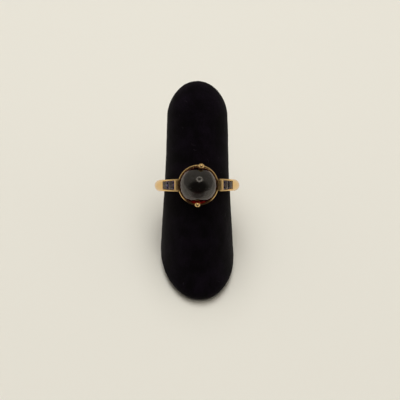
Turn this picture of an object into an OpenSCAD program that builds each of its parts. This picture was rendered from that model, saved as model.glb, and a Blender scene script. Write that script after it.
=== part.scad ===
// A gold ring with a round cabochon and stone-set shoulders, on a slanted finger-shaped stand.
// Millimetres. +Z is up, +Y to the rear and +X to the right; the origin is on the floor under
// the middle of the whole.
// The ring is drawn in a frame of its own: the finger hole's middle is at 0, its axis is Y
// and the head is up along +Z. Places on the stand are given by the distance up its front
// line and the depth behind that line.

/* [Band] */
// Inside diameter of the band
finger_d = 17.3; // [16.6:0.1:17.8]
// Thickness of the gold at the back of the band
band_t = 1.3; // [1.2:0.05:1.5]
// Radius of the band's half-round section
band_round = 1.37; // [1.35:0.01:1.45]
// Width of the band at the back, where its sides are filed flat
back_w = 2.2; // [2:0.1:2.5]
// Width of the shoulders where they grow out of the band
shoulder_w = 2.5; // [2.4:0.02:2.7]
// Width of the shoulders where they meet the head
head_w = 2.84; // [2.76:0.02:3.2]
// How much smaller the radius of the shoulders' arc is than the band's outer radius
shoulder_drop = 0.35; // [0.25:0.05:0.45]
// How far the centre of the shoulders' arc lies above the finger hole's middle
shoulder_lift = 0.9; // [0.8:0.05:1]

/* [Side stones] */
// Width of each channel between its rails, at its inner end
channel_w = 2.2; // [2:0.02:2.3]
// Width of each channel between its rails, at its outer end
channel_end_w = 1.84; // [1.7:0.02:1.9]
// Depth of each channel
channel_depth = 0.95; // [0.85:0.05:1]
// Inner end of the left channel, in degrees from the head along the shoulders' arc
left_channel_start = 35; // [34:0.5:39]
// Inner end of the right channel, in degrees from the head along the shoulders' arc
right_channel_start = 38; // [34:0.5:39]
// Outer end of each channel, in degrees from the head along the shoulders' arc
channel_end = 57.5; // [56:0.5:59]
// Gold left between each channel's outer end and the slope down to the band, in degrees
end_wall = 1.4; // [1:0.1:2]
// Clear gap round each side stone
side_stone_gap = 0.03; // [0.02:0.01:0.05]
// How far the girdle of a side stone lies below the top of the rails
girdle_sink = 0.22; // [0.2:0.01:0.26]

/* [Cabochon] */
// Diameter of the cabochon
cabochon_d = 8.64; // [8.4:0.02:8.8]
// Height of the cabochon's upright edge
cabochon_edge_h = 0.42; // [0.3:0.02:0.5]
// Height of the seat above the finger hole's middle
seat_z = 9.35; // [9.2:0.05:9.5]
// Clear gap between the seat and the cabochon
seat_gap = 0.03; // [0.02:0.01:0.05]

/* [Collet] */
// Outside diameter of the collet at its rim
rim_d = 9.32; // [9.3:0.02:9.5]
// Clear gap between the rim and the cabochon
rim_gap = 0.06; // [0.04:0.01:0.08]
// Height of the rim above the seat
rim_h = 0.85; // [0.7:0.05:1]
// Outside diameter of the collet at its foot
collet_foot_d = 8.8; // [8.6:0.05:9]
// Diameter of the open back under the cabochon
open_back_d = 7.2; // [6.8:0.1:7.4]
// Diameter of the recess that sets the head apart from the shoulders
recess_d = 9.96; // [9.9:0.02:10.1]
// How far to the right of the head's axis the recess lies
recess_shift = 0.2; // [0.1:0.02:0.22]
// Depth of the recess below the top of the rim
recess_depth = 1.9; // [1.8:0.05:2.1]

/* [Claws] */
// Thickness of the claws where they meet their balls
claw_tip_d = 0.7; // [0.6:0.02:0.74]
// Thickness of the claws at their feet
claw_foot_d = 0.86; // [0.7:0.02:0.88]
// Diameter of the ball on the claw that points up the stand
upper_ball_d = 1.34; // [1.2:0.02:1.5]
// Distance of that ball from the head's axis
upper_ball_reach = 4.4; // [4.39:0.01:4.6]
// Direction of that claw, in degrees from the right-hand shoulder
upper_claw_turn = 81; // [76:1:95]
// Diameter of the ball on the claw that points down the stand
lower_ball_d = 1.26; // [1.2:0.02:1.5]
// Distance of that ball from the head's axis
lower_ball_reach = 4.5; // [4.48:0.01:4.6]
// Direction of that claw, in degrees from the right-hand shoulder
lower_claw_turn = 267; // [262:1:280]

/* [Stand] */
// Angle between the stand's front line and the floor
stand_slope = 41; // [39:1:45]
// Length of the stand along its front line
stand_l = 53.7; // [52:0.1:56]
// Angle at which the stand's back line closes on its front line
stand_taper = 14; // [12:1:16]
// Length of the rounded tip
tip_l = 8.8; // [7:0.1:9.5]
// How far up the front line the ring sits
ring_at = 29.3; // [27:0.1:31]
// How far the ring's head leans to the right on the stand, in degrees
ring_turn = -3.4; // [-5:0.1:5]
// Clear gap between the stand and the inside of the ring
stand_gap = 0.06; // [0.05:0.01:0.1]
// Radius at which the cloth turns under at the foot
foot_round = 1.7; // [1.2:0.1:2]

/* [Hidden] */
$fn = 96;
LEFT = -1;
RIGHT = 1;
past = 1;          // how far a cut runs past the face it opens

finger_r = finger_d / 2;
band_r = finger_r + band_t;
shoulder_r = band_r - shoulder_drop;
shoulder_foot_z = 5.5;   // height at which the shoulders begin to widen
shoulder_top_z = 8.6;    // height at which they reach their full width
slope_sweep = 4.6;       // degrees along the arc that a shoulder's end takes to slope down
slope_drop = 0.8;        // how deep the slope is where it ends

// A point seen from the side, at an angle from the head on an arc round the shoulders' centre
function arc_point(turn, r) = [r * sin(turn), shoulder_lift + r * cos(turn)];

stones_each_side = 2;
girdle_r = shoulder_r - girdle_sink;

function channel_start(side) = side == LEFT ? left_channel_start : right_channel_start;

// Half the width of a channel on a side at a height above the finger hole's middle
function channel_half(side, z) =
    let (inner_z = arc_point(channel_start(side), shoulder_r)[1],
         outer_z = arc_point(channel_end, shoulder_r)[1])
    (channel_end_w + (channel_w - channel_end_w) * (z - outer_z) / (inner_z - outer_z)) / 2;

// Steps of a side stone's cut, from keel to table. Columns: how far the outline is inset from
// the girdle's, and the height above the girdle.
CUT_STEPS = [[0.74, -0.66], [0.4, -0.46], [0.1, -0.2], [0, -0.04],
             [0, 0.04], [0.16, 0.15], [0.36, 0.22]];

cabochon_r = cabochon_d / 2;
dome_r = cabochon_r + 0.02;   // so that the dome meets the upright edge at a slight angle
cabochon_z = seat_z + seat_gap;
dome_z = cabochon_z + cabochon_edge_h - sqrt(pow(dome_r, 2) - pow(cabochon_r, 2));
rim_z = seat_z + rim_h;
collet_foot_z = 7.2;     // inside the shoulders, and trimmed by the finger hole
claw_foot_r = 4.98;      // distance of the claws' feet from the head's axis
claw_foot_z = finger_r + 0.15;
claw_gap = 0.03;         // between a claw's ball and the dome

// Columns: distance up the front line, and the stand's width there
STAND_WIDTHS = [[0, 19.6], [14.1, 17.25], [32.9, 15], [44.9, 14.33]];
stand_columns = 48;
foot_rows = 5;
stand_rows = 14;
tip_rows = 8;
tip_start = stand_l - tip_l;
back_closing = tan(stand_taper);   // depth lost for each millimetre up the front line
// The back of the stand clears the lower edge of the band, where it is deepest
depth_at_ring = finger_d - 2 * stand_gap - back_closing * back_w / 2;

function stand_depth(up) = depth_at_ring + back_closing * (ring_at - up);

// Where the line of the stand's surface that lies at an angle round it, counted from the
// front line, is at a height above the floor
function up_at(height, round) =
    let (share = (1 - cos(round)) / 2)
    (share * stand_depth(0) + height / cos(stand_slope)) / (tan(stand_slope) + back_closing * share);

function stand_point(up, round, shrink) =
    let (depth = stand_depth(up) / 2 * (1 - shrink * cos(round)))
    [lookup(up, STAND_WIDTHS) / 2 * shrink * sin(round),
     up * cos(stand_slope) + depth * sin(stand_slope),
     up * sin(stand_slope) - depth * cos(stand_slope)];

// Outward normal, towards [right, rear, up], of that line where the floor cuts it
function wall_normal(round) =
    let (up = up_at(0, round), width = lookup(up, STAND_WIDTHS), depth = stand_depth(up),
         narrowing = lookup(up - 0.5, STAND_WIDTHS) - lookup(up + 0.5, STAND_WIDTHS),
         across = depth / 2 * sin(round),
         along = depth * narrowing / 4 * pow(sin(round), 2)
             - width * back_closing / 4 * cos(round) * (1 - cos(round)),
         behind = -width / 2 * cos(round))
    [across, along * cos(stand_slope) + behind * sin(stand_slope),
     along * sin(stand_slope) - behind * cos(stand_slope)] / norm([across, along, behind]);

// A point of the foot's rounding, where it has rolled a share of the way from floor to wall
function foot_point(share, round) =
    let (wall = wall_normal(round), corner = acos(wall[2]), roll = (180 - corner) * share,
         height = foot_round * (1 - cos(roll)),
         inset = foot_round * (1 / tan(corner / 2) - sin(roll)) - height / tan(corner))
    stand_point(up_at(height, round), round, 1)
        - inset * [wall[0], wall[1], 0] / norm([wall[0], wall[1]]);

stand_rounds = [for (i = [0 : stand_columns - 1]) 360 * i / stand_columns];
foot_points = [for (row = [0 : foot_rows - 1], round = stand_rounds)
    foot_point(row / foot_rows, round)];
body_points = [for (row = [0 : stand_rows], round = stand_rounds)
    let (low = up_at(foot_round * (1 + wall_normal(round)[2]), round))
    stand_point(low + (tip_start - low) * row / stand_rows, round, 1)];
tip_points = [for (row = [1 : tip_rows - 1], round = stand_rounds)
    let (lift = 90 * row / tip_rows)
    stand_point(tip_start + tip_l * sin(lift), round, cos(lift))];
stand_points = concat(foot_points, body_points, tip_points, [stand_point(stand_l, 0, 0)]);
stand_ys = [for (point = stand_points) point[1]];
middle_y = round(100 * (min(stand_ys) + max(stand_ys)) / 2) / 100;

// Triangles of a closed loft whose rings have the same number of points each
function loft_walls(rings, columns) = [for (row = [0 : rings - 2], i = [0 : columns - 1])
    let (a = row * columns + i, b = row * columns + (i + 1) % columns)
    each [[a, a + columns, b], [b, a + columns, b + columns]]];

module on_ring() {
    translate([0, -middle_y, 0])
        rotate([stand_slope, 0, 0])
            translate([0, ring_at, stand_gap - finger_r])
                rotate([0, ring_turn, 0])
                    children();
}

module on_side(side) {
    if (side == LEFT) mirror([1, 0, 0]) children();
    else children();
}

// Puts a thing at an angle from the head, with its +Z pointing out of the shoulders' arc
module on_shoulder(side, turn) {
    on_side(side) translate([0, 0, shoulder_lift]) rotate([0, turn, 0]) children();
}

// Keeps what lies within an outline given as [half width, height] from the bottom up
module narrowed(outline) {
    mirrored = [for (i = [len(outline) - 1 : -1 : 0]) [-outline[i][0], outline[i][1]]];
    intersection() {
        children();
        rotate([90, 0, 90]) linear_extrude(3 * band_r, center = true)
            polygon(concat(outline, mirrored));
    }
}

// A half-round band, filed narrower towards the back
module band() {
    narrowed([[back_w / 2, -band_r - past], [band_round + past / 2, 0],
              [band_round + past / 2, band_r + past]])
        rotate([90, 0, 0]) rotate_extrude()
            translate([band_r - band_round, 0]) circle(r = band_round);
}

// Both shoulders in one: flat on top and at the sides, sloping down to the band at their ends
module shoulders() {
    slope_top = arc_point(channel_end + end_wall, shoulder_r);
    slope_foot = arc_point(channel_end + end_wall + slope_sweep, shoulder_r - slope_drop);
    beyond = slope_top + 2 * (slope_top - slope_foot);
    narrowed([[shoulder_w / 2, 0], [shoulder_w / 2, shoulder_foot_z],
              [head_w / 2, shoulder_top_z], [head_w / 2, band_r + past]])
        rotate([90, 0, 0]) linear_extrude(2 * head_w, center = true) intersection() {
            translate([0, shoulder_lift]) circle(r = shoulder_r);
            polygon([[0, 0], slope_foot, beyond, [0, 3 * band_r],
                     [-beyond[0], beyond[1]], [-slope_foot[0], slope_foot[1]]]);
        }
}

// The room for a side's stones, narrower towards its outer end
module channel(side) {
    narrowed([[channel_half(side, 0), 0], [channel_half(side, 2 * band_r), 2 * band_r]])
        on_shoulder(side, channel_start(side))
            rotate([-90, 0, 0]) rotate([0, 0, -90])
                rotate_extrude(angle = channel_end - channel_start(side))
                    translate([shoulder_r - channel_depth, -head_w])
                        square([channel_depth + past, 2 * head_w]);
}

// A tapered wire that leans in from the collet's foot, with a ball that presses on the dome
module claw(turn, reach, ball_d) {
    ball_z = dome_z + sqrt(pow(dome_r + claw_gap + ball_d / 2, 2) - pow(reach, 2));
    rise = ball_z - claw_foot_z;
    lean = reach - claw_foot_r;
    rotate([0, 0, turn]) {
        translate([claw_foot_r, 0, claw_foot_z])
            rotate([0, atan2(lean, rise), 0])
                cylinder(h = norm([lean, rise]), d1 = claw_foot_d, d2 = claw_tip_d);
        translate([reach, 0, ball_z]) sphere(d = ball_d);
    }
}

// What the recess takes away from the band and the shoulders
module recess() {
    translate([recess_shift, 0, rim_z - recess_depth])
        cylinder(h = recess_depth + past, d = recess_d);
}

// All the gold: band, shoulders, collet and claws, soldered into one
module ring_mount() {
    color("goldenrod") on_ring() {
        difference() {
            union() {
                difference() {
                    union() {
                        band();
                        shoulders();
                    }
                    recess();
                }
                translate([0, 0, collet_foot_z])
                    cylinder(h = rim_z - collet_foot_z, d1 = collet_foot_d, d2 = rim_d);
            }
            rotate([90, 0, 0]) cylinder(h = 3 * rim_d, r = finger_r, center = true);
            cylinder(h = seat_z + past, d = open_back_d);
            translate([0, 0, seat_z]) cylinder(h = rim_h + past, r = cabochon_r + rim_gap);
            channel(LEFT);
            channel(RIGHT);
        }
        claw(upper_claw_turn, upper_ball_reach, upper_ball_d);
        claw(lower_claw_turn, lower_ball_reach, lower_ball_d);
    }
}

module garnet_cabochon() {
    color("maroon") on_ring() intersection() {
        translate([0, 0, cabochon_z]) cylinder(h = 2 * dome_r, r = cabochon_r);
        translate([0, 0, dome_z]) sphere(r = dome_r);
    }
}

// A step-cut side stone with its length along the arc; place counts from the head outwards
module side_sapphire(side, place) {
    sweep = (channel_end - channel_start(side)) / stones_each_side;
    turn = channel_start(side) + sweep * (place + 0.5);
    points = [for (step = CUT_STEPS, corner = [[-1, -1], [1, -1], [1, 1], [-1, 1]])
        let (along = corner[0] * (girdle_r * tan(sweep / 2) - side_stone_gap - step[0]),
             z = arc_point(turn, girdle_r)[1] - along * sin(turn))
        [along, corner[1] * (channel_half(side, z) - side_stone_gap - step[0]), step[1]]];
    top = 4 * (len(CUT_STEPS) - 1);
    color("midnightblue") on_ring() on_shoulder(side, turn) translate([0, 0, girdle_r])
        polyhedron(points, concat([[0, 1, 2, 3]], loft_walls(len(CUT_STEPS), 4),
                                  [[top + 3, top + 2, top + 1, top]]));
}

module left_outer_sapphire() { side_sapphire(LEFT, 1); }

module left_inner_sapphire() { side_sapphire(LEFT, 0); }

module right_inner_sapphire() { side_sapphire(RIGHT, 0); }

module right_outer_sapphire() { side_sapphire(RIGHT, 1); }

module display_stand() {
    rings = foot_rows + stand_rows + tip_rows;
    apex = len(stand_points) - 1;
    last_ring = apex - stand_columns;
    color("black") translate([0, -middle_y, 0])
        polyhedron(stand_points, concat(
            [[for (i = [0 : stand_columns - 1]) i]],
            loft_walls(rings, stand_columns),
            [for (i = [0 : stand_columns - 1])
                [last_ring + i, apex, last_ring + (i + 1) % stand_columns]]));
}

ring_mount();
garnet_cabochon();
left_outer_sapphire();
left_inner_sapphire();
right_inner_sapphire();
right_outer_sapphire();
display_stand();
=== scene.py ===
# A gold ring with a round garnet cabochon and four step-cut side stones, held by a slanted
# finger-shaped stand in black velvet. Metres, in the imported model's frame: +Z up, +Y to the
# rear. The ring is made in a frame of its own, with the finger hole's middle at 0, the hole
# along Y and the head up along +Z, and is then laid on the stand.
import math

import bmesh
import bpy
from bpy.props import FloatProperty, FloatVectorProperty, IntProperty, PointerProperty
from mathutils import Matrix, Vector


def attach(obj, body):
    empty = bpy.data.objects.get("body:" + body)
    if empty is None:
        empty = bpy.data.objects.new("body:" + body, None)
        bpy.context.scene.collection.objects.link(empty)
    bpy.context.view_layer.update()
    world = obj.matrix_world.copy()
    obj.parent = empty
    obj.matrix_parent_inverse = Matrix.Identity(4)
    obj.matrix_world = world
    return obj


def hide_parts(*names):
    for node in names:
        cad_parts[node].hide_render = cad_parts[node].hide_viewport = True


bl_info = {
    "name": "Cabochon Ring on a Stand",
    "version": (1, 0, 0),
    "blender": (4, 5, 0),
    "location": "View3D > Sidebar > Cabochon Ring",
    "description": "Gold cabochon ring with stone-set shoulders on a velvet finger stand",
    "category": "Add Mesh",
}

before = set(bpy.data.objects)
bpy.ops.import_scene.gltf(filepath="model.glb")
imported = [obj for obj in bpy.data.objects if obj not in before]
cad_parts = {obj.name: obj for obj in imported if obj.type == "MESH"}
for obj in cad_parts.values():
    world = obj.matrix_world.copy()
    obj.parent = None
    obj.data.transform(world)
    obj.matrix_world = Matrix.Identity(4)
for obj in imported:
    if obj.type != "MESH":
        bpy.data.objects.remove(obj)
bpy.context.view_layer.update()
SIDE_STONES = [name for name in sorted(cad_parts) if name.endswith("_sapphire")]

MM = 0.001
LEFT, RIGHT = -1, 1
PAST = 1 * MM          # how far a cutting tool runs past the face that it opens
HAIR = 0.03 * MM       # how much wider a cut is made in gold that another wall lines
TURNED_SIDES = 224     # sides of what is turned about the head's axis
HOOP_SIDES = 288       # sides of the band and of the finger hole, round the finger


def srgb(code):
    """Linear colour from an sRGB hex code such as #e8e2d0"""
    shares = [int(code[i:i + 2], 16) / 255 for i in (1, 3, 5)]
    return [s / 12.92 if s <= 0.04045 else ((s + 0.055) / 1.055) ** 2.4 for s in shares]


def length(name, description, default):
    """A size, in metres"""
    return FloatProperty(
        name=name, description=description, default=default, subtype="DISTANCE", unit="LENGTH")


def angle(name, description, degrees):
    """An angle, given in degrees and kept in radians"""
    return FloatProperty(
        name=name, description=description, default=math.radians(degrees),
        subtype="ANGLE", unit="ROTATION")


def colour(name, description, code):
    """A colour, given as an sRGB hex code"""
    return FloatVectorProperty(
        name=name, description=description, default=srgb(code), size=3, subtype="COLOR")


class RingSizes(bpy.types.PropertyGroup):
    """Sizes of the gold and the cabochon"""
    finger_d: length("Finger Hole", "Inside diameter of the band", 17.3 * MM)
    band_t: length("Band Thickness", "Thickness of the gold at the back of the band", 1.3 * MM)
    band_round: length("Band Section", "Radius of the band's half-round section", 1.37 * MM)
    back_w: length(
        "Back Width", "Width to which the band's sides are filed, 1 mm past its back", 2.2 * MM)
    shoulder_w: length(
        "Shoulder Width", "Width of the shoulders where they grow out of the band", 2.5 * MM)
    head_w: length("Head Width", "Width of the shoulders where they meet the head", 2.84 * MM)
    widen_from: length(
        "Widening From", "Height at which the shoulders begin to widen", 5.5 * MM)
    widen_to: length(
        "Widening To", "Height at which the shoulders reach their full width", 8.6 * MM)
    shoulder_drop: length(
        "Shoulder Drop",
        "How much smaller the shoulders' arc is than the band's outer radius", 0.35 * MM)
    shoulder_lift: length(
        "Shoulder Lift", "Height of the shoulders' arc centre above the finger hole's middle", 0.9 * MM)
    comfort_round: length(
        "Comfort Rounding", "Radius of the band's edges against the finger", 0.08 * MM)
    edge_round: length(
        "Edge Rounding", "Radius that polishing leaves on the edges of the shoulders", 0.09 * MM)
    channel_w: length(
        "Channel Width", "Width of each channel between its rails, at its inner end", 2.2 * MM)
    channel_end_w: length(
        "Channel End Width", "Width of each channel between its rails, at its outer end", 1.84 * MM)
    channel_depth: length("Channel Depth", "Depth of each channel", 0.95 * MM)
    left_channel_start: angle(
        "Left Channel Start",
        "Inner end of the left channel along the shoulders' arc, from the head", 35)
    right_channel_start: angle(
        "Right Channel Start",
        "Inner end of the right channel along the shoulders' arc, from the head", 38)
    channel_end: angle(
        "Channel End", "Outer end of each channel along the shoulders' arc, from the head", 57.5)
    end_wall: angle("End Wall", "Gold left between a channel and the slope down to the band", 1.4)
    slope_sweep: angle(
        "Slope Sweep", "Stretch of the arc that a shoulder's end takes to slope down", 4.6)
    slope_drop: length("Slope Drop", "How deep the slope is where it ends", 0.8 * MM)
    slope_narrowing: FloatProperty(
        name="Slope Narrowing", description="Share of its width that the slope loses by its foot",
        default=0.12)
    bar_sink: length(
        "Bar Sink", "How far the bars beside the head lie below the rails", 0.03 * MM)
    bar_round: length("Bar Rounding", "How far those bars fall away at their edges", 0.06 * MM)
    cabochon_d: length("Cabochon", "Diameter of the cabochon", 8.64 * MM)
    cabochon_edge_h: length("Cabochon Edge", "Height of the cabochon's upright edge", 0.42 * MM)
    cabochon_bevel: length(
        "Cabochon Bevel", "Size of the bevel between the cabochon's edge and its base", 0.05 * MM)
    seat_z: length("Seat Height", "Height of the seat above the finger hole's middle", 9.35 * MM)
    seat_gap: length("Seat Gap", "Clear gap between the seat and the cabochon", 0.03 * MM)
    rim_d: length("Rim", "Outside diameter of the collet at its rim", 9.32 * MM)
    rim_gap: length("Rim Gap", "Clear gap between the rim and the cabochon", 0.06 * MM)
    rim_h: length("Rim Height", "Height of the rim above the seat", 0.85 * MM)
    lip_round: length("Lip Rounding", "Radius to which the rim's edges are burnished", 0.04 * MM)
    lip_w: length(
        "Lip Width", "Width of the slope that burnishing leaves on the rim's top", 0.12 * MM)
    lip_slope: angle("Lip Slope", "How far that slope is tipped outwards", 38)
    collet_foot_d: length("Collet Foot", "Outside diameter of the collet at its foot", 8.8 * MM)
    collet_foot_z: length(
        "Collet Foot Height", "Height of that foot above the finger hole's middle", 7.2 * MM)
    open_back_d: length("Open Back", "Diameter of the hole under the cabochon", 7.2 * MM)
    recess_d: length(
        "Recess", "Diameter of the recess that sets the head apart from the shoulders", 9.96 * MM)
    recess_shift: length(
        "Recess Shift", "How far to the right of the head's axis the recess lies", 0.2 * MM)
    recess_depth: length("Recess Depth", "Depth of the recess below the top of the rim", 1.9 * MM)
    claw_foot_d: length("Claw Foot", "Thickness of the claws at their feet", 0.86 * MM)
    claw_tip_d: length("Claw Tip", "Thickness of the claws where they meet their balls", 0.7 * MM)
    claw_foot_r: length(
        "Claw Foot Reach", "Distance of the claws' feet from the head's axis", 4.98 * MM)
    claw_foot_lift: length(
        "Claw Foot Lift", "Height of the claws' feet above the finger hole's edge", 0.15 * MM)
    claw_bow: length("Claw Bow", "How far the claws' middles bow outwards", 0.06 * MM)
    claw_gap: length("Claw Gap", "Clear gap between the claws' balls and the dome", 0.03 * MM)


class ClawSizes(bpy.types.PropertyGroup):
    """Where each of the two claws stands, and the ball on its end"""
    upper_turn: angle("Upper Claw", "Direction of the claw that points up the stand", 81)
    upper_reach: length(
        "Upper Reach", "Distance of the upper claw's ball from the head's axis", 4.4 * MM)
    upper_ball_d: length("Upper Ball", "Diameter of the ball on the upper claw", 1.34 * MM)
    lower_turn: angle("Lower Claw", "Direction of the claw that points down the stand", 267)
    lower_reach: length(
        "Lower Reach", "Distance of the lower claw's ball from the head's axis", 4.5 * MM)
    lower_ball_d: length("Lower Ball", "Diameter of the ball on the lower claw", 1.26 * MM)


class StandSizes(bpy.types.PropertyGroup):
    """Sizes of the velvet stand"""
    slope: angle("Slope", "Angle between the stand's front line and the floor", 41)
    taper: angle("Taper", "Angle at which the stand's back line closes on its front line", 14)
    front_l: length("Length", "Length of the stand along its front line", 53.7 * MM)
    tip_l: length("Tip", "Length of the rounded tip", 8.8 * MM)
    foot_w: length("Foot Width", "Width of the stand at the foot of its front line", 19.6 * MM)
    flare_w: length("Flare Width", "Width of the stand where its flared foot ends", 17.25 * MM)
    flare_at: length("Flare Place", "How far up the front line that is", 14.1 * MM)
    waist_w: length("Waist Width", "Width of the stand where its sides turn steeper", 15 * MM)
    waist_at: length("Waist Place", "How far up the front line that is", 32.9 * MM)
    tip_w: length("Tip Width", "Width of the stand where the rounded tip begins", 14.33 * MM)
    foot_round: length(
        "Foot Rounding", "Radius at which the cloth turns under at the foot", 1.7 * MM)
    front_y: length(
        "Front Line's Foot", "Place along Y where the front line would meet the floor", -23.99 * MM)
    ring_at: length("Ring Place", "How far up the front line the ring sits", 29.3 * MM)
    ring_turn: angle("Ring Turn", "How far the ring's head leans to the right on the stand", -3.4)
    ring_gap: length(
        "Ring Gap", "Clear gap between the stand and the inside of the ring", 0.06 * MM)
    relief: length("Velvet Relief", "Depth of the dips where the cloth isn't quite flat", 0.14 * MM)
    lint_count: IntProperty(
        name="Lint", description="Number of loose fibres caught in the pile", default=46)
    lint_l: length("Lint Length", "Usual length of a fibre", 0.8 * MM)
    lint_r: length("Lint Radius", "Radius of a fibre of that length", 0.015 * MM)


class Finishes(bpy.types.PropertyGroup):
    """Colours of the materials"""
    gold: colour("Gold", "Reflection of clean polished gold", "#f8d698")
    worn_gold: colour("Worn Gold", "Reflection of gold dulled by handling", "#e4be82")
    # Painted shade: the dark colour that the rim is painted in front and beside the shoulders
    rim_shade: colour("Painted Rim Shade", "Reflection of gold under the grime of long wear", "#33160e")
    garnet: colour("Garnet", "Body colour of the cabochon in a thin layer", "#e53c4c")
    sapphire: colour("Sapphire", "Body colour of the side stones in a thin layer", "#683ca6")
    velvet: colour("Velvet", "Pile seen end on", "#070508")
    velvet_nap: colour("Velvet Nap", "Pile that leans over and catches the light", "#140e18")
    lint: colour("Lint", "Loose fibres in the pile", "#4a4550")
    paper: colour("Paper", "The paper that the stand rests on", "#e9e8e0")


class StageSettings(bpy.types.PropertyGroup):
    """Camera, floor and light"""
    azimuth: angle("Azimuth", "How far to the right of the stand's front the camera stands", -7.7)
    roll: angle(
        "Roll", "How far the camera is turned about its own axis to stand the picture upright", 5.4)
    elevation: angle("Elevation", "How steeply the camera looks down", 49)
    distance: length(
        "Distance", "From the camera to the middle of the finger hole, along its axis", 400 * MM)
    lens: FloatProperty(
        name="Lens", description="Focal length on a 36 mm wide sensor", default=153, unit="CAMERA")
    aim_right: length("Aim Right", "How far right of the finger hole the camera aims", 0.7 * MM)
    aim_down: length("Aim Down", "How far below the finger hole the camera aims", 3.46 * MM)
    floor_w: length("Floor", "Width of the paper floor", 3)
    room: FloatProperty(
        name="Room",
        description="Brightness of the room that the gold and the stones mirror", default=0.37)
    mirrored_paper: FloatProperty(
        name="Mirrored Paper", description="Brightness of the paper where they mirror it", default=0.7)
    room_tint: colour("Room Tint", "Colour of the light from the room", "#fff4e3")
    backdrop: FloatProperty(
        name="Backdrop", description="Brightness of the backdrop past the floor's edge", default=0.7)
    softbox: FloatProperty(
        name="Softbox", description="Power of the round softbox overhead", default=12.3, unit="POWER")
    softbox_d: length("Softbox Diameter", "Diameter of the softbox", 1.1)
    softbox_h: length("Softbox Height", "Distance of the softbox from the ring", 1.4)
    softbox_behind: angle("Softbox Behind", "How far behind the zenith the softbox hangs", 30)
    softbox_beside: angle(
        "Softbox Beside", "How far to the right of the zenith the softbox hangs", -2.2)
    fill: FloatProperty(
        name="Fill", description="Power of the wide panel overhead", default=0.22, unit="POWER")
    fill_w: length("Fill Width", "Width of the panel", 0.4)
    fill_h: length("Fill Height", "Height of the panel above the ring", 0.32)


def add(tree, kind, inputs=(), **settings):
    """Adds a node with its settings, and links or fills its inputs.

    The inputs go by place, or by name or number in a dict. A node given as a value stands
    for its first output.
    """
    node = tree.nodes.new(kind)
    for setting, value in settings.items():
        setattr(node, setting, value)
    for key, value in inputs.items() if isinstance(inputs, dict) else enumerate(inputs):
        if isinstance(value, bpy.types.Node):
            value = value.outputs[0]
        if isinstance(value, bpy.types.NodeSocket):
            tree.links.new(value, node.inputs[key])
        else:
            node.inputs[key].default_value = value
    return node


def maths(tree, operation, *values):
    """A node that works out a number from others"""
    return add(tree, "ShaderNodeMath", values, operation=operation)


def spread(tree, value, start, end, low, high, **settings):
    """A node that carries a value from the range start to end over to the range low to high"""
    return add(tree, "ShaderNodeMapRange", (value, start, end, low, high), **settings)


def split(tree, vector):
    """The X, Y and Z of a vector"""
    return add(tree, "ShaderNodeSeparateXYZ", (vector,)).outputs


def join(tree, *numbers, **named):
    """A vector from its X, Y and Z, given in order or by name"""
    return add(tree, "ShaderNodeCombineXYZ", named or numbers)


def noise(tree, place, size, **inputs):
    """Noise whose cells have a real size"""
    return add(tree, "ShaderNodeTexNoise", {"Vector": place, "Scale": 1 / size, **inputs})


def blend(tree, share, *ends):
    """A colour that runs from one to another, each given as a colour or as a socket"""
    start, end = [c if isinstance(c, bpy.types.NodeSocket) else (*c, 1) for c in ends]
    return add(tree, "ShaderNodeMix", {0: share, 6: start, 7: end}, data_type="RGBA").outputs[2]


def new_material(name):
    """A material with its tree cleared, the tree, and the object's own coordinates"""
    material = bpy.data.materials.new(name)
    material.use_nodes = True
    tree = material.node_tree
    tree.nodes.clear()
    return material, tree, add(tree, "ShaderNodeTexCoord").outputs["Object"]


def set_surface(tree, inputs, **output):
    """Ends a material's tree in a surface, and maybe a volume"""
    shader = add(tree, "ShaderNodeBsdfPrincipled", inputs)
    add(tree, "ShaderNodeOutputMaterial", {"Surface": shader, **output})


def painted_lip_shade(scene, tree, place):
    """Share of painted shade at a place on the gold: only on the rim of the head, in front and beside
    the shoulders, where dark paint stands in for shade and for the dark things that the rim mirrors
    there"""
    ring = scene.ring_sizes
    to_ring = on_stand(scene).inverted()
    _, y, z = split(tree, add(tree, "ShaderNodeMapping", {
        "Vector": place, "Location": to_ring.to_translation(), "Rotation": to_ring.to_euler()}))
    # The painted shade is full from 3.8 mm in front of the head's axis and within 1 mm of the
    # shoulders' middle line, and gone at 3 mm and at 1.5 mm; off the rim's top it goes from 0.3 to 0.6
    # mm
    in_front = spread(tree, y, -3.0 * MM, -3.8 * MM, 0.0, 1.0)
    off_middle = maths(tree, "ABSOLUTE", y)
    by_shoulder = spread(tree, off_middle, 1.0 * MM, 1.5 * MM, 1.0, 0.0)
    shaded_zone = maths(tree, "MAXIMUM", in_front, by_shoulder)
    off_lip = maths(tree, "ABSOLUTE", maths(tree, "SUBTRACT", z, ring.seat_z + ring.rim_h))
    on_lip = spread(tree, off_lip, 0.3 * MM, 0.6 * MM, 0.9, 0.0)
    return maths(tree, "MULTIPLY", shaded_zone, on_lip)


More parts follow.
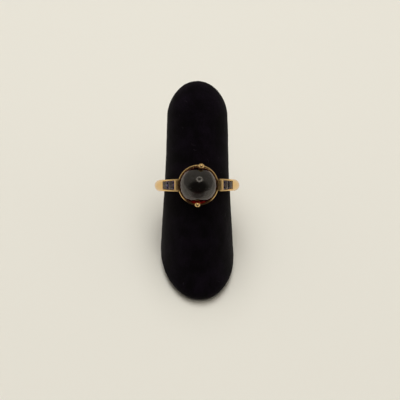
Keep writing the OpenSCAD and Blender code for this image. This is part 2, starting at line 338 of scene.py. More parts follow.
def cast_gold(scene):
    """Cast and hand-polished 14 carat gold, softly scratched by wear, so that reflections stay bright
    but blur a little and the edges gleam; parts of the rim are painted dark, a painted shade in place
    of real shade and dark reflections"""
    finishes = scene.finishes
    material, tree, place = new_material("cast polished gold")
    cloud = noise(tree, place, 2.5 * MM, Detail=3)
    wear = spread(tree, cloud, 0.4, 0.75, 0, 0.55)
    clean = blend(tree, wear, finishes.gold, finishes.worn_gold)
    # Painted shade: the rim's gold is darkened in front and beside the shoulders
    gold = blend(tree, painted_lip_shade(scene, tree, place), clean, finishes.rim_shade)
    # Real polishing lines are a few hundredths of a millimetre apart; these are drawn coarser
    lines_place = add(tree, "ShaderNodeMapping", {"Vector": place, "Scale": (1, 6, 1)})
    lines = noise(tree, lines_place, 0.35 * MM, Detail=4, Roughness=0.6)
    roughness = spread(tree, lines, 0.3, 0.7, 0.12, 0.24)
    dents = noise(tree, place, 0.7 * MM, Detail=2)
    height = maths(tree, "MULTIPLY_ADD", lines, 0.25, dents)
    bump = add(tree, "ShaderNodeBump", {"Height": height, "Strength": 0.6, "Distance": 0.05 * MM})
    set_surface(tree, {"Base Color": gold, "Metallic": 1, "Roughness": roughness, "Normal": bump})
    return material


def polished_stone(name, body, ior, density, polish):
    """A clear coloured stone: polished outside, with light soaked up on its way through. The
    body is its colour in a thin layer, and polish the range of its roughness."""
    material, tree, place = new_material(name)
    haze = noise(tree, place, 0.8 * MM, Detail=3)
    roughness = spread(tree, haze, 0.35, 0.7, *polish)
    inside = add(tree, "ShaderNodeVolumeAbsorption", {"Color": (*body, 1), "Density": density})
    set_surface(tree, {"Base Color": (1, 1, 1, 1), "Roughness": roughness, "IOR": ior,
                       "Transmission Weight": 1}, Volume=inside)
    return material


def black_velvet(finishes):
    """Woven black velvet: a matt black pile that drinks light, a little greyer where it leans"""
    material, tree, place = new_material("woven black velvet")
    lean = noise(tree, place, 3 * MM, Detail=4)
    # Real pile is about 0.05 mm thick; it is drawn four times as coarse so that it shows
    pile = noise(tree, place, 0.2 * MM, Detail=2, Roughness=0.7)
    catch = maths(tree, "MULTIPLY", lean, pile)
    share = spread(tree, catch, 0.18, 0.42, 0, 1)
    black = blend(tree, share, finishes.velvet, finishes.velvet_nap)
    bump = add(tree, "ShaderNodeBump", {"Height": pile, "Strength": 0.6, "Distance": 0.08 * MM})
    set_surface(tree, {"Base Color": black, "Roughness": 0.95, "Specular IOR Level": 0.1,
                       "Sheen Weight": 0.04, "Sheen Roughness": 0.4, "Normal": bump})
    return material


def cotton_lint(finishes):
    """Loose cotton fibres, greyed by the black pile around them"""
    material, tree, place = new_material("cotton lint")
    tone = noise(tree, place, 4 * MM)
    grey = blend(tree, tone, finishes.velvet_nap, finishes.lint)
    set_surface(tree, {"Base Color": grey, "Roughness": 0.9})
    return material


def cream_paper(finishes):
    """Uncoated cream paper with a fine tooth, plain and matt"""
    material, tree, place = new_material("uncoated cream paper")
    tooth = noise(tree, place, 0.4 * MM, Detail=3)
    bump = add(tree, "ShaderNodeBump", {"Height": tooth, "Strength": 0.15, "Distance": 0.02 * MM})
    set_surface(tree, {"Base Color": (*finishes.paper, 1), "Roughness": 0.85,
                       "Specular IOR Level": 0.25, "Normal": bump})
    return material


def new_object(name, mesh):
    """An object at the origin with its place in its mesh, linked to the scene"""
    piece = bpy.data.objects.new(name, mesh)
    bpy.context.scene.collection.objects.link(piece)
    return piece


def loft(name, rings):
    """A closed solid through rings of the same number of points each, with its faces outwards"""
    count = len(rings[0])
    points = [point for ring in rings for point in ring]
    walls = [(a + i, a + (i + 1) % count, a + count + (i + 1) % count, a + count + i)
             for a in range(0, len(points) - count, count) for i in range(count)]
    ends = [list(range(count)), list(range(len(points) - count, len(points)))]
    mesh = bpy.data.meshes.new(name)
    mesh.from_pydata(points, [], walls + ends)
    shape = bmesh.new()
    shape.from_mesh(mesh)
    bmesh.ops.remove_doubles(shape, verts=shape.verts, dist=0.0001 * MM)
    bmesh.ops.recalc_face_normals(shape, faces=shape.faces)
    shape.to_mesh(mesh)
    shape.free()
    return new_object(name, mesh)


def lathe(name, profile, sides):
    """A closed solid turned about Z from a profile of (radius, height) pairs from foot to top"""
    turns = [2 * math.pi * i / sides for i in range(sides)]
    rings = [[Vector((r * math.cos(a), r * math.sin(a), z)) for a in turns] for r, z in profile]
    return loft(name, rings)


def drum(name, radius, foot, top, sides):
    """A plain cylinder about Z"""
    return lathe(name, [(0, foot), (radius, foot), (radius, top), (0, top)], sides)


def arc(centre, radius, start, end, steps):
    """Points of an arc in a plane, with its angles in degrees"""
    turns = [math.radians(start + (end - start) * i / steps) for i in range(steps + 1)]
    return [(centre[0] + radius * math.cos(a), centre[1] + radius * math.sin(a)) for a in turns]


def evaluated(piece):
    """Applies an object's modifiers, so that it holds a plain mesh"""
    depsgraph = bpy.context.evaluated_depsgraph_get()
    mesh = bpy.data.meshes.new_from_object(piece.evaluated_get(depsgraph))
    piece.modifiers.clear()
    old, piece.data = piece.data, mesh
    bpy.data.meshes.remove(old)
    return piece


def combine(piece, tool, operation):
    """Adds a solid to a piece or cuts it away, and removes the tool"""
    modifier = piece.modifiers.new(operation, "BOOLEAN")
    modifier.operation = operation
    modifier.solver = "MANIFOLD"
    modifier.object = tool
    evaluated(piece)
    bpy.data.objects.remove(tool)
    return piece


def clear_slivers(piece, width):
    """Clears away the slivers that cuts leave, narrower than a width; the mesh stays closed"""
    shape = bmesh.new()
    shape.from_mesh(piece.data)
    bmesh.ops.remove_doubles(shape, verts=shape.verts, dist=width)
    bmesh.ops.triangulate(shape, faces=[face for face in shape.faces if len(face.verts) > 4])
    bmesh.ops.dissolve_degenerate(shape, edges=shape.edges, dist=width)
    shape.to_mesh(piece.data)
    shape.free()


def new_shape_tree(name, sizes):
    """A Geometry Nodes tree with an input for each named size, and its inputs' sockets"""
    tree = bpy.data.node_groups.new(name, "GeometryNodeTree")
    tree.interface.new_socket("Geometry", in_out="INPUT", socket_type="NodeSocketGeometry")
    for size, value in sizes.items():
        kind = "NodeSocketInt" if isinstance(value, int) else "NodeSocketFloat"
        tree.interface.new_socket(size, in_out="INPUT", socket_type=kind)
    tree.interface.new_socket("Geometry", in_out="OUTPUT", socket_type="NodeSocketGeometry")
    return tree, add(tree, "NodeGroupInput").outputs


def position(tree):
    """The X, Y and Z of each point, read afresh by every node that uses them"""
    return split(tree, add(tree, "GeometryNodeInputPosition"))


def finish_tree(tree, geometry, material):
    """Ends a tree in Realize Instances and Set Material"""
    real = add(tree, "GeometryNodeRealizeInstances", (geometry,))
    coated = add(tree, "GeometryNodeSetMaterial", {"Geometry": real, "Material": material})
    add(tree, "NodeGroupOutput", (coated,))


def shaped(name, tree, sizes, start=None):
    """A plain mesh object made by a Geometry Nodes tree from named sizes, and maybe a start mesh"""
    piece = new_object(name, start or bpy.data.meshes.new(name))
    modifier = piece.modifiers.new(tree.name, "NODES")
    modifier.node_group = tree
    for socket in tree.interface.items_tree:
        if socket.in_out == "INPUT" and socket.name in sizes:
            modifier[socket.identifier] = sizes[socket.name]
    return evaluated(piece)


def half_round_band(ring, material):
    """The band: a half-round section swept round the finger, filed narrower towards the back"""
    path_r = ring.finger_d / 2 + ring.band_t - ring.band_round
    sizes = {
        "Path Radius": path_r, "Section Radius": ring.band_round,
        "Flat": ring.finger_d / 2 - path_r, "Comfort Rounding": ring.comfort_round,
        "Back Half Width": ring.back_w / 2, "Front Half Width": ring.band_round + PAST / 2,
        "Back Height": -(ring.finger_d / 2 + ring.band_t + PAST)}
    tree, given = new_shape_tree("Half-Round Band", sizes)
    path = add(tree, "GeometryNodeCurvePrimitiveCircle",
               {"Resolution": HOOP_SIDES, "Radius": given["Path Radius"]})
    circle = add(tree, "GeometryNodeCurvePrimitiveCircle",
                 {"Resolution": 64, "Radius": given["Section Radius"]})
    x, y, _ = position(tree)
    flat = maths(tree, "SMOOTH_MAX", x, given["Flat"], given["Comfort Rounding"])
    section = add(tree, "GeometryNodeSetPosition",
                  {"Geometry": circle, "Position": join(tree, flat, y)})
    swept = add(tree, "GeometryNodeCurveToMesh", {"Curve": path, "Profile Curve": section})
    upright = add(tree, "GeometryNodeTransform",
                  {"Geometry": swept, "Rotation": (math.pi / 2, 0, 0)})
    # Files the sides: nothing of the section may stand wider than the wedge at its height
    x, y, z = position(tree)
    allowed = spread(tree, z, given["Back Height"], 0.0,
                     given["Back Half Width"], given["Front Half Width"])
    width = maths(tree, "ABSOLUTE", y)
    filed = maths(tree, "SMOOTH_MIN", width, allowed, given["Comfort Rounding"])
    across = maths(tree, "MULTIPLY", filed, maths(tree, "SIGN", y))
    band = add(tree, "GeometryNodeSetPosition",
               {"Geometry": upright, "Position": join(tree, x, across, z)})
    finish_tree(tree, band, material)
    return shaped("band", tree, sizes)


def shoulder_r(ring):
    """Radius of the arc that the shoulders' tops follow"""
    return ring.finger_d / 2 + ring.band_t - ring.shoulder_drop


def arc_point(ring, side, turn, across, radius):
    """A point on one side at an angle from the head, at a radius from the middle of that arc"""
    return Vector((side * radius * math.sin(turn), across,
                   ring.shoulder_lift + radius * math.cos(turn)))


def channel_start(ring, side):
    """Inner end of a side's channel, from the head along the shoulders' arc"""
    return ring.left_channel_start if side == LEFT else ring.right_channel_start


def channel_half(ring, side, turn):
    """Half the width of a side's channel at an angle from the head"""
    inner, outer = math.cos(channel_start(ring, side)), math.cos(ring.channel_end)
    inwards = (math.cos(turn) - outer) / (inner - outer)
    return (ring.channel_end_w + (ring.channel_w - ring.channel_end_w) * inwards) / 2


def channel_cutter(ring, side):
    """What the channel takes away from the band, a hair wider and deeper than in the shoulder,
    so that the shoulder's own walls line it"""
    floor_r, past_r = shoulder_r(ring) - ring.channel_depth - HAIR, shoulder_r(ring) + PAST
    start = channel_start(ring, side) - HAIR / shoulder_r(ring)
    end = ring.channel_end + HAIR / shoulder_r(ring)
    steps = 16
    rings = []
    for i in range(steps + 1):
        turn = start + (end - start) * i / steps
        half = channel_half(ring, side, turn) + HAIR
        outline = ((-half, floor_r), (half, floor_r), (half, past_r), (-half, past_r))
        rings.append([arc_point(ring, side, turn, across, r) for across, r in outline])
    return loft("channel cutter", rings)


def shoulder_section(ring, side, turn, outer, keep, depth):
    """Points of a shoulder's section at an angle from the head, with its top at a radius, a
    share of its width kept, and sunk to a depth between the rails"""
    edge, lip = ring.edge_round, ring.edge_round / 2
    inner_r = ring.finger_d / 2 - PAST

    def half_width(radius):
        height = ring.shoulder_lift + radius * math.cos(turn)
        rise = (height - ring.widen_from) / (ring.widen_to - ring.widen_from)
        width = ring.shoulder_w + (ring.head_w - ring.shoulder_w) * min(max(rise, 0), 1)
        return keep * width / 2

    half, channel = half_width(outer), channel_half(ring, side, turn)
    corner = arc((0, 0), 1, 0, 90, 3)
    right = [(half_width(inner_r), inner_r), (half, outer - 3 * edge)]
    right += [(half - edge + edge * c, outer - edge + edge * s) for c, s in corner]
    right += [(channel + lip - lip * s, outer - min(lip - lip * c, depth)) for c, s in corner]
    right += [(channel, outer - depth), (0, outer - depth)]
    outline = right + [(-across, radius) for across, radius in reversed(right[:-1])]
    return [arc_point(ring, side, turn, across, radius) for across, radius in outline]


def on_end_slope(ring, share):
    """Angle and radius of a point of a shoulder's end slope, from its top to its foot"""
    top, foot = ring.channel_end + ring.end_wall, shoulder_r(ring) - ring.slope_drop
    ends = ((top, shoulder_r(ring)), (top + ring.slope_sweep, foot))
    (x0, z0), (x1, z1) = [(r * math.sin(turn), r * math.cos(turn)) for turn, r in ends]
    x, z = x0 + (x1 - x0) * share, z0 + (z1 - z0) * share
    return math.atan2(x, z), math.hypot(x, z)


def shoulder(ring, side):
    """One shoulder, lofted outwards along its arc, with the channel for its stones sunk in it
    and a slope down to the band at its end"""
    top_r, lip = shoulder_r(ring), ring.edge_round / 2
    start, end = channel_start(ring, side), ring.channel_end
    under_head = math.radians(18)        # well inside the recess
    # Each station holds an angle, the top's radius, the share of the width kept and a depth
    stations = [(under_head, top_r, 1, 0)]
    # Between the recess and the channel lies a bar, rounded and a little lower than the rails
    bar_steps = 10
    bar_start = math.asin((ring.recess_d / 2 + side * ring.recess_shift) / top_r)
    for i in range(bar_steps + 1):
        from_crest = 2 * i / bar_steps - 1
        along = (i + 0.1) / (bar_steps + 0.3)       # clear of both ends of the bar
        stations.append((bar_start + (start - bar_start) * along, top_r, 1,
                         ring.bar_sink + ring.bar_round * from_crest ** 2))
    channel_steps, shy = 16, 0.002                  # shy of the channel's ends, for steep walls
    for i in range(channel_steps + 1):
        along = shy + (1 - 2 * shy) * i / channel_steps
        stations.append((start + (end - start) * along, top_r, 1, ring.channel_depth))
    for share in (1, 0.5, 0):
        stations.append((end + (1 - share) * lip / top_r, top_r, 1, share * lip))
    stations.append((end + 0.6 * ring.end_wall, top_r, 1, 0))
    for share in (0.06, 0.2, 0.4, 0.6, 0.8, 1, 1.2):
        turn, radius = on_end_slope(ring, share)
        stations.append((turn, radius, 1 - ring.slope_narrowing * share ** 2, 0))
    return loft("shoulder", [shoulder_section(ring, side, *station) for station in stations])


def collet(ring):
    """The cup that holds the cabochon, solid until its seat is cut, with its rim burnished
    towards the stone"""
    rim_z, edge = ring.seat_z + ring.rim_h, ring.lip_round
    foot = (ring.collet_foot_d / 2, ring.collet_foot_z)
    low = (ring.rim_d / 2 - edge, rim_z - edge - ring.lip_w * math.tan(ring.lip_slope))
    high = (low[0] - ring.lip_w, rim_z - edge)
    facing = 90 - math.degrees(ring.lip_slope)
    lip = arc(low, edge, 0, facing, 4) + arc(high, edge, facing, 90, 4)
    return lathe("collet", [(0, foot[1]), foot, *lip, (0, rim_z)], TURNED_SIDES)


def recess_cutter(ring):
    """What the recess round the head takes away from the band and the shoulders"""
    rim_z = ring.seat_z + ring.rim_h
    cutter = drum("recess cutter", ring.recess_d / 2, rim_z - ring.recess_depth, rim_z + PAST,
                  TURNED_SIDES)
    cutter.data.transform(Matrix.Translation((ring.recess_shift, 0, 0)))
    return cutter


def finger_cutter(ring):
    """What the finger hole takes away from the shoulders and the collet, a trace wider than the
    band's own inside, which then stands proud of it"""
    trace = 0.01 * MM
    cutter = drum("finger cutter", ring.finger_d / 2 + trace, -ring.finger_d, ring.finger_d,
                  HOOP_SIDES)
    cutter.data.transform(Matrix.Rotation(math.pi / 2, 4, "X"))
    return cutter


def seat_cutter(ring):
    """What is turned out of the head: the open back, the seat and the bore of the rim"""
    back_r, bore_r = ring.open_back_d / 2, ring.cabochon_d / 2 + ring.rim_gap
    seat_z, rim_z, edge = ring.seat_z, ring.seat_z + ring.rim_h, ring.lip_round / 2
    flare = arc((bore_r + edge, rim_z - edge), edge, 180, 95, 7)
    return lathe("seat cutter", [
        (0, 0), (back_r, 0), (back_r, seat_z - edge / 2), (back_r + edge / 2, seat_z),
        (bore_r, seat_z), *flare, (bore_r + edge, rim_z + PAST), (0, rim_z + PAST)], TURNED_SIDES)


def dome(ring):
    """Radius of the cabochon's dome, and the height of its centre"""
    edge_r = ring.cabochon_d / 2
    dome_r = edge_r + 0.02 * MM          # so that the dome meets the upright edge at a slight angle
    foot_z = ring.seat_z + ring.seat_gap
    return dome_r, foot_z + ring.cabochon_edge_h - math.sqrt(dome_r ** 2 - edge_r ** 2)


def claw(ring, turn, reach, ball_d, material):
    """A tapered wire that leans in from the collet's foot, with a ball close over the dome"""
    dome_r, dome_z = dome(ring)
    between = dome_r + ring.claw_gap + ball_d / 2
    sizes = {
        "Turn": turn, "Foot Reach": ring.claw_foot_r,
        "Foot Height": ring.finger_d / 2 + ring.claw_foot_lift,
        "Foot Diameter": ring.claw_foot_d, "Tip Diameter": ring.claw_tip_d, "Reach": reach,
        "Ball Height": dome_z + math.sqrt(between ** 2 - reach ** 2), "Ball Diameter": ball_d}
    tree, given = new_shape_tree("Ball Claw", sizes)
    foot = join(tree, X=given["Foot Reach"], Z=given["Foot Height"])
    end = join(tree, X=given["Reach"], Z=given["Ball Height"])
    middle = add(tree, "ShaderNodeMix", {0: 0.5, 4: foot, 5: end}, data_type="VECTOR").outputs[1]
    bowed = add(tree, "ShaderNodeVectorMath", (middle, (ring.claw_bow, 0, 0)), operation="ADD")
    wire = add(tree, "GeometryNodeCurveQuadraticBezier",
               {"Resolution": 14, "Start": foot, "Middle": bowed, "End": end})
    along = add(tree, "GeometryNodeSplineParameter")
    thick = spread(tree, along, 0.0, 1.0, given["Foot Diameter"], given["Tip Diameter"])
    round_section = add(tree, "GeometryNodeCurvePrimitiveCircle",
                        {"Resolution": 32, "Radius": 1.0})
    stem = add(tree, "GeometryNodeCurveToMesh", {
        "Curve": wire, "Profile Curve": round_section,
        "Scale": maths(tree, "MULTIPLY", thick, 0.5), "Fill Caps": True})
    ball = add(tree, "GeometryNodeMeshUVSphere", {
        "Segments": 48, "Rings": 24,
        "Radius": maths(tree, "MULTIPLY", given["Ball Diameter"], 0.5)})
    placed = add(tree, "GeometryNodeTransform", {"Geometry": ball, "Translation": end})
    both = add(tree, "GeometryNodeMeshBoolean", operation="UNION", solver="MANIFOLD")
    for solid in (stem, placed):
        tree.links.new(solid.outputs[0], both.inputs["Mesh 2"])
    turned = add(tree, "GeometryNodeTransform",
                 {"Geometry": both, "Rotation": join(tree, Z=given["Turn"])})
    finish_tree(tree, turned, material)
    return shaped("claw", tree, sizes)


def on_stand(scene):
    """The move that takes the ring from its own frame to where the stand holds it"""
    ring, stand = scene.ring_sizes, scene.stand_sizes
    return (Matrix.Translation((0, stand.front_y, 0)) @ Matrix.Rotation(stand.slope, 4, "X")
            @ Matrix.Translation((0, stand.ring_at, stand.ring_gap - ring.finger_d / 2))
            @ Matrix.Rotation(stand.ring_turn, 4, "Y"))


def coat(piece, material, sharp_from):
    """Gives a piece its one material, and smooth shading up to an angle in degrees between faces"""
    piece.data.materials.clear()
    piece.data.materials.append(material)
    piece.data.shade_smooth()
    piece.data.set_sharp_from_angle(angle=math.radians(sharp_from))


class RING_OT_gold_mount(bpy.types.Operator):
    """Build the band, shoulders, collet and claws as one piece of gold"""
    bl_idname = "ring.gold_mount"
    bl_label = "Gold Mount"

    def execute(self, context):
        scene = context.scene
        ring, claws = scene.ring_sizes, scene.claw_sizes
        gold = cast_gold(scene)
        mount = combine(shoulder(ring, LEFT), shoulder(ring, RIGHT), "UNION")
        combine(mount, recess_cutter(ring), "DIFFERENCE")
        combine(mount, collet(ring), "UNION")
        combine(mount, finger_cutter(ring), "DIFFERENCE")
        band = combine(half_round_band(ring, gold), recess_cutter(ring), "DIFFERENCE")
        for side in (LEFT, RIGHT):
            combine(band, channel_cutter(ring, side), "DIFFERENCE")
        combine(mount, band, "UNION")
        combine(mount, seat_cutter(ring), "DIFFERENCE")
        for turn, reach, ball_d in ((claws.upper_turn, claws.upper_reach, claws.upper_ball_d),
                                    (claws.lower_turn, claws.lower_reach, claws.lower_ball_d)):
            combine(mount, claw(ring, turn, reach, ball_d, gold), "UNION")
        clear_slivers(mount, 0.001 * MM)
        mount.name = "gold_mount"
        mount.data.transform(on_stand(scene))
        coat(mount, gold, sharp_from=34)
        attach(mount, "root")
        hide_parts("ring_mount")
        return {"FINISHED"}


class RING_OT_garnet_cabochon(bpy.types.Operator):
    """Build the round high-domed stone in the head"""
    bl_idname = "ring.garnet_cabochon"
    bl_label = "Garnet Cabochon"

    def execute(self, context):
        scene = context.scene
        ring = scene.ring_sizes
        dome_r, dome_z = dome(ring)
        edge_r, foot_z, bevel = ring.cabochon_d / 2, ring.seat_z + ring.seat_gap, ring.cabochon_bevel
        rise = math.degrees(math.acos(edge_r / dome_r))
        profile = [(0, foot_z), (edge_r - bevel, foot_z), (edge_r, foot_z + bevel)]
        profile += arc((0, dome_z), dome_r, rise, 90, 48)
        stone = lathe("garnet_dome", profile, 160)
        stone.data.transform(on_stand(scene))
        garnet = polished_stone("polished garnet", scene.finishes.garnet, ior=1.73,
                                density=2150, polish=(0.015, 0.045))
        coat(stone, garnet, sharp_from=34)
        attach(stone, "root")
        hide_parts("garnet_cabochon")
        return {"FINISHED"}


class RING_OT_side_stones(bpy.types.Operator):
    """Give the step-cut stones in the shoulders their polish and colour"""
    bl_idname = "ring.side_stones"
    bl_label = "Side Stones"

    def execute(self, context):
        sapphire = polished_stone("faceted sapphire", context.scene.finishes.sapphire, ior=1.77,
                                  density=1000, polish=(0.01, 0.05))
        for name in SIDE_STONES:
            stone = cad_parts[name]
            stone.material_slots[0].material = sapphire
        return {"FINISHED"}


def stand_width_node(tree, given, up, tip_start):
    """The stand's width at a distance up its front line"""
    width = given["Tip Width"]
    stretches = (("Foot Width", "Flare Width", 0.0, given["Flare Place"]),
                 ("Flare Width", "Waist Width", given["Flare Place"], given["Waist Place"]),
                 ("Waist Width", "Tip Width", given["Waist Place"], tip_start))
    for wide, narrow, start, end in stretches:
        gain = maths(tree, "SUBTRACT", given[wide], given[narrow])
        width = maths(tree, "ADD", width, spread(tree, up, start, end, gain, 0.0))
    return width


def finger_stand(sizes, material):
    """The stand's form by rule: an oval section that narrows up a slanting front line, cut
    flat by the floor and closed by a rounded tip, with the slight dips of stretched cloth"""
    tree, given = new_shape_tree("Finger Stand", sizes)
    tube = add(tree, "GeometryNodeMeshCylinder", {
        "Vertices": 176, "Side Segments": 150, "Radius": 1.0, "Depth": 1.0},
        fill_type="TRIANGLE_FAN")
    x, y, z = position(tree)
    frontness = maths(tree, "MULTIPLY", y, -1.0)
    # The tube runs from -0.5 to 0.5 along Z. Its last fifth makes the tip, and swings over to
    # just short of the pole; below that, the power sets its rows closer together at the foot
    tip_from, full_swing = 0.3, math.radians(89)
    body = maths(tree, "POWER", spread(tree, z, -0.5, tip_from, 0.0, 1.0), 1.5)
    swing = spread(tree, z, tip_from, 0.5, 0.0, full_swing)
    # Where the floor cuts each line that runs up the stand
    closing = maths(tree, "TANGENT", given["Taper"])
    steep = maths(tree, "TANGENT", given["Slope"])
    share = spread(tree, frontness, -1.0, 1.0, 1.0, 0.0)
    reach = maths(tree, "MULTIPLY", share, given["Foot Depth"])
    low = maths(tree, "DIVIDE", reach, maths(tree, "MULTIPLY_ADD", closing, share, steep))
    # Distance up the front line, and the stand's width and depth there
    tip_start = maths(tree, "SUBTRACT", given["Length"], given["Tip Length"])
    up_body = spread(tree, body, 0.0, 1.0, low, tip_start)
    up = maths(tree, "MULTIPLY_ADD", maths(tree, "SINE", swing), given["Tip Length"], up_body)
    width = stand_width_node(tree, given, up, tip_start)
    deep = maths(tree, "SUBTRACT", given["Foot Depth"], maths(tree, "MULTIPLY", up, closing))
    # The tip shrinks the section towards its front line
    shrink = maths(tree, "COSINE", swing)
    behind = spread(tree, maths(tree, "MULTIPLY", shrink, frontness), -1.0, 1.0, -1.0, 0.0)
    depth = maths(tree, "MULTIPLY", deep, behind)
    half = maths(tree, "MULTIPLY", width, 0.5)
    across = maths(tree, "MULTIPLY", half, maths(tree, "MULTIPLY", shrink, x))
    formed = add(tree, "GeometryNodeSetPosition",
                 {"Geometry": tube, "Position": join(tree, across, up, depth)})
    leaning = add(tree, "GeometryNodeTransform", {
        "Geometry": formed, "Rotation": join(tree, given["Slope"]),
        "Translation": join(tree, Y=given["Front"])})
    # The dips go inwards only, and fade out at the floor so that the foot stays flat
    dips = add(tree, "ShaderNodeTexNoise", {"Scale": 1 / (5 * MM), "Detail": 3, "Roughness": 0.6})
    dip = spread(tree, dips, 0.25, 0.75, given["Relief"], 0.0)
    off_floor = spread(tree, position(tree)["Z"], 0.0, 1.5 * MM, 0.0, -1.0)
    inwards = add(tree, "ShaderNodeVectorMath", {
        0: add(tree, "GeometryNodeInputNormal"), "Scale": maths(tree, "MULTIPLY", dip, off_floor)},
        operation="SCALE")
    cloth = add(tree, "GeometryNodeSetPosition", {"Geometry": leaning, "Offset": inwards})
    finish_tree(tree, cloth, material)
    return shaped("velvet_stand", tree, sizes)


def roll_foot(form, stand, foot_depth):
    """Turns the cloth under at the foot: the lowest stretch of the wall is rolled inwards until
    it lies flat on the floor"""
    closing, radius = math.tan(stand.taper), stand.foot_round
    cos, sin = math.cos(stand.slope), math.sin(stand.slope)

    def width(up):
        foot, waist = (0, stand.foot_w), (stand.waist_at, stand.waist_w)
        flare = (stand.flare_at, stand.flare_w)
        (start, wide), (end, narrow) = (foot, flare) if up < stand.flare_at else (flare, waist)
        return wide + (narrow - wide) * (up - start) / (end - start)

    def wall_normal(turn):
        """Outward normal of the wall where the floor cuts it, at an angle round from the front"""
        behind = (1 - math.cos(turn)) / 2
        up = behind * foot_depth / (sin / cos + closing * behind)
        deep, wide = foot_depth - closing * up, width(up)
        narrowing = (wide - width(up + MM)) / MM
        across = deep / 2 * math.sin(turn)
        along = (deep * narrowing / 4 * math.sin(turn) ** 2
                 - wide * closing / 2 * math.cos(turn) * behind)
        into = -wide / 2 * math.cos(turn)
        normal = Vector((across, along * cos + into * sin, along * sin - into * cos))
        return normal.normalized()

    base_share = 0.5        # the flat base's middle, which isn't part of the wall
    for point in form.data.vertices:
        y, z = point.co.y - stand.front_y, point.co.z
        up, depth = y * cos + z * sin, y * sin - z * cos
        frontness = 1 - 2 * depth / (foot_depth - closing * up)
        sideness = 2 * point.co.x / width(up)
        if math.hypot(frontness, sideness) < base_share:
            continue
        normal = wall_normal(math.atan2(sideness, frontness))
        corner = math.acos(normal.z)
        reach, slant = radius / math.tan(corner / 2), z / math.sin(corner)
        if slant < reach:
            roll = (math.pi - corner) * slant / reach
            inset = reach - radius * math.sin(roll) - z / math.tan(corner)
            point.co -= inset * Vector((normal.x, normal.y, 0)).normalized()
            point.co.z = radius * (1 - math.cos(roll))


def loose_lint(form, sizes, material):
    """Loose fibres scattered over the stand, each a short bent thread lying on the pile"""
    tree, given = new_shape_tree("Velvet Lint", sizes)
    off_floor = add(tree, "FunctionNodeCompare", {0: position(tree)["Z"], 1: given["Lowest"]},
                    operation="GREATER_THAN")
    spots = add(tree, "GeometryNodeDistributePointsOnFaces", {
        "Mesh": given["Geometry"], "Selection": off_floor, "Density": given["Density"],
        "Seed": given["Seed"]})
    # A fibre of unit length, bowed sideways and lifted a little off the pile in its middle
    bowed = add(tree, "GeometryNodeCurveQuadraticBezier", {
        "Resolution": 5, "Start": (-0.5, -0.1, 0.02), "Middle": (0, 0.35, 0.09),
        "End": (0.5, -0.05, 0.02)})
    radius = maths(tree, "DIVIDE", given["Fibre Radius"], given["Fibre Length"])
    section = add(tree, "GeometryNodeCurvePrimitiveCircle", {"Resolution": 5, "Radius": radius})
    strand = add(tree, "GeometryNodeCurveToMesh", {
        "Curve": bowed, "Profile Curve": section, "Fill Caps": True})
    spin = add(tree, "FunctionNodeRandomValue", {2: 0.0, 3: 2 * math.pi, "Seed": 1}).outputs[1]
    turned = add(tree, "FunctionNodeRotateRotation", (
        spots.outputs["Rotation"], join(tree, Z=spin)), rotation_space="LOCAL")
    vary = add(tree, "FunctionNodeRandomValue", {2: 0.4, 3: 1.3, "Seed": 2}).outputs[1]
    fibres = add(tree, "GeometryNodeInstanceOnPoints", {
        "Points": spots, "Instance": strand, "Rotation": turned,
        "Scale": maths(tree, "MULTIPLY", vary, given["Fibre Length"])})
    finish_tree(tree, fibres, material)
    return shaped("velvet_lint", tree, sizes, start=form.data.copy())


class RING_OT_velvet_stand(bpy.types.Operator):
    """Build the slanted finger-shaped stand with its velvet, and the lint caught in it"""
    bl_idname = "ring.velvet_stand"
    bl_label = "Velvet Stand"

    def execute(self, context):
        scene = context.scene
        stand, ring = scene.stand_sizes, scene.ring_sizes
        velvet, cotton = black_velvet(scene.finishes), cotton_lint(scene.finishes)
        closing = math.tan(stand.taper)
        # The back of the stand clears the lower edge of the band, where it is deepest
        depth_at_ring = ring.finger_d - 2 * stand.ring_gap - closing * ring.back_w / 2
        foot_depth = depth_at_ring + closing * stand.ring_at
        form = finger_stand({
            "Slope": stand.slope, "Taper": stand.taper, "Length": stand.front_l,
            "Tip Length": stand.tip_l, "Foot Width": stand.foot_w, "Flare Width": stand.flare_w,
            "Flare Place": stand.flare_at, "Waist Width": stand.waist_w,
            "Waist Place": stand.waist_at, "Tip Width": stand.tip_w, "Foot Depth": foot_depth,
            "Front": stand.front_y, "Relief": stand.relief}, velvet)
        roll_foot(form, stand, foot_depth)
        coat(form, velvet, sharp_from=50)
        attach(form, "root")
        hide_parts("display_stand")
        lowest = 2 * MM          # so that no fibre reaches down to the floor
        area = sum(face.area for face in form.data.polygons if face.center.z > lowest)
        lint = loose_lint(form, {
            "Density": stand.lint_count / area, "Fibre Length": stand.lint_l,
            "Fibre Radius": stand.lint_r, "Lowest": lowest, "Seed": 7}, cotton)
        coat(lint, cotton, sharp_from=60)
        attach(lint, "root")
        return {"FINISHED"}


def seen_from_camera(tree, stage, direction):
    """A direction told with the camera's side as -Y and its upright as +Z"""
    for turn, axis in ((-stage.azimuth, "Z_AXIS"), (stage.elevation, "X_AXIS"), (stage.roll, "Y_AXIS")):
        direction = add(tree, "ShaderNodeVectorRotate", {"Vector": direction, "Angle": turn},
                        rotation_type=axis)
    return direction


def dark_patch(tree, view, right, up, half_w, half_h, darkest):
    """An oval that is darkest in its middle and fades out at its edge, in degrees"""
    x, y, z = split(tree, view)
    around = maths(tree, "ARCTAN2", x, maths(tree, "MULTIPLY", y, -1.0))
    above = maths(tree, "ARCSINE", z)
    wide = spread(tree, around, math.radians(right), math.radians(right + half_w), 0.0, 1.0,
                  clamp=False)
    high = spread(tree, above, math.radians(up), math.radians(up + half_h), 0.0, 1.0, clamp=False)
    distance = add(tree, "ShaderNodeVectorMath", (join(tree, wide, high),), operation="LENGTH")
    return spread(tree, distance.outputs["Value"], 0.6, 1.3, darkest, 1.0,
                  interpolation_type="SMOOTHSTEP")


